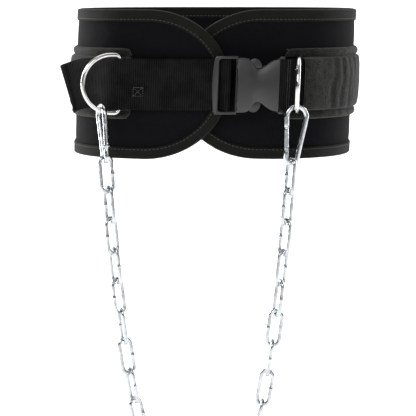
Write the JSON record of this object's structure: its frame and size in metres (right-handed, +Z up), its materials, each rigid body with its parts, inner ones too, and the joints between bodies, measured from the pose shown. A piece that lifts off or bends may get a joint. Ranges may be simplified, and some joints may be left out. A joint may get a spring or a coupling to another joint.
{
  "type": "weight belt",
  "caption": "Wide padded waist belt with crossing rounded ends, a buckled webbing strap, D-rings, snap hooks and a hanging steel chain.",
  "frame": {"origin": "centre of the waist opening, halfway up the belt", "axes": "+Z up along the wearer's trunk, -Y out of the belt's front, +X to the right seen from the front"},
  "size_m": [0.305, 0.2444, 0.4997],
  "materials": {
    "neoprene": "matte black knit-faced neoprene",
    "edge_tape": "olive-black woven tape with stitching",
    "sleeve_cloth": "brushed grey-black loop cloth",
    "webbing": "black ribbed webbing",
    "ring_steel": "bright nickel-plated steel",
    "hook_steel": "bright zinc-plated steel",
    "chain_steel": "bright zinc-plated steel",
    "buckle_plastic": "satin dark grey moulded plastic"
  },
  "bodies": {
    "root": {"belt_panel": "neoprene", "edge_binding": "edge_tape", "strap_sleeve": "sleeve_cloth", "strap": "webbing", "d_ring_left": "ring_steel", "d_ring_right": "ring_steel", "carabiner_left": "hook_steel", "carabiner_right": "hook_steel", "buckle_male": "buckle_plastic", "buckle_female": "buckle_plastic", "link_01": "chain_steel", "link_02": "chain_steel", "link_03": "chain_steel", "link_04": "chain_steel", "link_05": "chain_steel", "link_06": "chain_steel", "link_07": "chain_steel", "link_08": "chain_steel", "link_09": "chain_steel", "link_10": "chain_steel", "link_11": "chain_steel", "link_12": "chain_steel", "link_13": "chain_steel", "link_14": "chain_steel", "link_15": "chain_steel", "link_16": "chain_steel", "link_17": "chain_steel", "link_18": "chain_steel", "link_19": "chain_steel", "link_20": "chain_steel", "link_21": "chain_steel", "link_22": "chain_steel", "link_23": "chain_steel", "link_24": "chain_steel", "link_25": "chain_steel"},
    "gate_left": {"gate_left": "hook_steel"},
    "gate_right": {"gate_right": "hook_steel"}
  },
  "joints": [
    {"name": "gate_left_hinge", "type": "hinge", "parent": "root", "child": "gate_left", "pos_m": [-0.1048, -0.11667, -0.05773], "axis": [-0.9272, -0.3746, 0], "range_deg": [0, 25], "stiffness_Nm_per_rad": 0.02, "springref_deg": -20.05},
    {"name": "gate_right_hinge", "type": "hinge", "parent": "root", "child": "gate_right", "pos_m": [0.06927, -0.11693, -0.05974], "axis": [-0.1736, 0.9848, 0], "range_deg": [0, 25], "stiffness_Nm_per_rad": 0.02, "springref_deg": -20.05}
  ]
}
